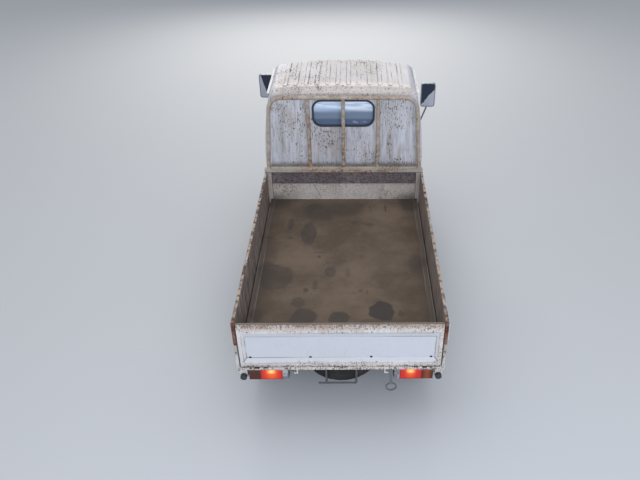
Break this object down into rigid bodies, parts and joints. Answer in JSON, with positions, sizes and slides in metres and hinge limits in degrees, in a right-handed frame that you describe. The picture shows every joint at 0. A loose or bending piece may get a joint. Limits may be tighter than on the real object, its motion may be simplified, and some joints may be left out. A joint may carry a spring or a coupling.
{
  "type": "light cab-over truck with a drop-side bed",
  "caption": "Small old cab-over truck with a ribbed cab roof, a pipe guard frame, a low bed with drop gates and lit tail lamps.",
  "frame": {"origin": "on the ground under the middle of the truck", "axes": "front towards -Y, the truck's left side towards +X, up +Z"},
  "size_m": [1.672, 3.195, 1.6827],
  "materials": {
    "cab_paint": "aged gloss, rust freckles",
    "bed_paint": "aged gloss, rusted edges",
    "bed_floor_metal": "matt, worn and stained",
    "chassis_paint": "matt, rusty",
    "axle_paint": "matt, rusty",
    "engine_metal": "matt, oily",
    "exhaust_metal": "rusty",
    "wheel_paint": "satin, worn",
    "tyre_rubber": "matt",
    "guard_paint": "matt, rust through cream paint",
    "bumper_paint": "satin",
    "clear_glass": "clear",
    "tail_lens": "gloss, red with amber and clear ends",
    "front_lens": "clear, ribbed",
    "amber_lens": "gloss amber",
    "seal_rubber": "matt",
    "stop_rubber": "matt",
    "grille_plastic": "matt",
    "dash_plastic": "grained",
    "mirror_plastic": "matt",
    "seat_cloth": "vinyl, matt"
  },
  "bodies": {
    "body": {"chassis_frame": "chassis_paint", "engine_and_gearbox": "engine_metal", "fuel_tank": "chassis_paint", "exhaust": "exhaust_metal", "leaf_springs": "chassis_paint", "front_axle": "axle_paint", "rear_axle": "axle_paint", "spare_carrier": "chassis_paint", "spare_wheel": "wheel_paint", "spare_tyre": "tyre_rubber", "rear_mudguards": "bed_paint", "bed_floor": "bed_floor_metal", "headboard": "bed_paint", "guard_frame": "guard_paint", "bed_brackets": "bed_paint", "gate_stops": "stop_rubber", "tail_lamp_bodies": "stop_rubber", "tail_lamp_lenses": "tail_lens", "cab_floor": "cab_paint", "cab_rear_wall": "cab_paint", "cab_sides": "cab_paint", "cab_front": "cab_paint", "cab_roof": "cab_paint", "windscreen": "clear_glass", "rear_window": "clear_glass", "window_seals": "seal_rubber", "grille": "grille_plastic", "front_bumper": "bumper_paint", "headlamps": "front_lens", "front_indicators": "amber_lens", "dashboard": "dash_plastic", "seats": "seat_cloth"},
    "door_left": {"door_left": "cab_paint", "door_glass_left": "clear_glass", "mirror_left": "mirror_plastic"},
    "door_right": {"door_right": "cab_paint", "door_glass_right": "clear_glass", "mirror_right": "mirror_plastic"},
    "side_gate_left": {"side_gate_left": "bed_paint"},
    "side_gate_right": {"side_gate_right": "bed_paint"},
    "tailgate": {"tailgate": "bed_paint"},
    "knuckle_left": {"knuckle_left": "axle_paint"},
    "knuckle_right": {"knuckle_right": "axle_paint"},
    "tie_rod": {"tie_rod": "axle_paint"},
    "steering_wheel": {"steering_wheel": "dash_plastic"},
    "wheel_front_left": {"wheel_front_left": "wheel_paint", "tyre_front_left": "tyre_rubber"},
    "wheel_front_right": {"wheel_front_right": "wheel_paint", "tyre_front_right": "tyre_rubber"},
    "wheel_rear_left": {"wheel_rear_left": "wheel_paint", "tyre_rear_left": "tyre_rubber"},
    "wheel_rear_right": {"wheel_rear_right": "wheel_paint", "tyre_rear_right": "tyre_rubber"}
  },
  "joints": [
    {"name": "door_left_hinge", "type": "hinge", "parent": "body", "child": "door_left", "pos_m": [0.696, -1.393, 0.7], "axis": [0, 0, -1], "range_deg": [0, 65]},
    {"name": "door_right_hinge", "type": "hinge", "parent": "body", "child": "door_right", "pos_m": [-0.696, -1.393, 0.7], "axis": [0, 0, 1], "range_deg": [0, 65]},
    {"name": "side_gate_left_hinge", "type": "hinge", "parent": "body", "child": "side_gate_left", "pos_m": [0.69, 0.6, 0.583], "axis": [0, 1, 0], "range_deg": [0, 180]},
    {"name": "side_gate_right_hinge", "type": "hinge", "parent": "body", "child": "side_gate_right", "pos_m": [-0.69, 0.6, 0.583], "axis": [0, -1, 0], "range_deg": [0, 180]},
    {"name": "tailgate_hinge", "type": "hinge", "parent": "body", "child": "tailgate", "pos_m": [0, 1.5915, 0.545], "axis": [-1, 0, 0], "range_deg": [0, 180]},
    {"name": "steer_left", "type": "hinge", "parent": "body", "child": "knuckle_left", "pos_m": [0.525, -0.8575, 0.27], "axis": [0, 0, 1], "range_deg": [-34, 34]},
    {"name": "steer_right", "type": "hinge", "parent": "body", "child": "knuckle_right", "pos_m": [-0.525, -0.8575, 0.27], "axis": [0, 0, 1], "range_deg": [-34, 34]},
    {"name": "tie_rod_pivot", "type": "hinge", "parent": "knuckle_left", "child": "tie_rod", "pos_m": [0.525, -0.7395, 0.238], "axis": [0, 0, 1], "range_deg": [-34, 34]},
    {"name": "steering_wheel_turn", "type": "hinge", "parent": "body", "child": "steering_wheel", "pos_m": [-0.33, -1.135, 0.985], "axis": [0, 0.6428, 0.766], "range_deg": [-510, 510]},
    {"name": "wheel_front_left_spin", "type": "hinge", "parent": "knuckle_left", "child": "wheel_front_left", "pos_m": [0.6025, -0.8575, 0.27], "axis": [1, 0, 0], "continuous": true},
    {"name": "wheel_front_right_spin", "type": "hinge", "parent": "knuckle_right", "child": "wheel_front_right", "pos_m": [-0.6025, -0.8575, 0.27], "axis": [1, 0, 0], "continuous": true},
    {"name": "wheel_rear_left_spin", "type": "hinge", "parent": "body", "child": "wheel_rear_left", "pos_m": [0.6025, 0.9625, 0.27], "axis": [1, 0, 0], "continuous": true},
    {"name": "wheel_rear_right_spin", "type": "hinge", "parent": "body", "child": "wheel_rear_right", "pos_m": [-0.6025, 0.9625, 0.27], "axis": [1, 0, 0], "continuous": true}
  ],
  "couplings": [
    {"joint": "steer_right", "follows": "steer_left", "ratio": 1},
    {"joint": "tie_rod_pivot", "follows": "steer_left", "ratio": -1},
    {"joint": "steering_wheel_turn", "follows": "steer_left", "ratio": 15}
  ]
}
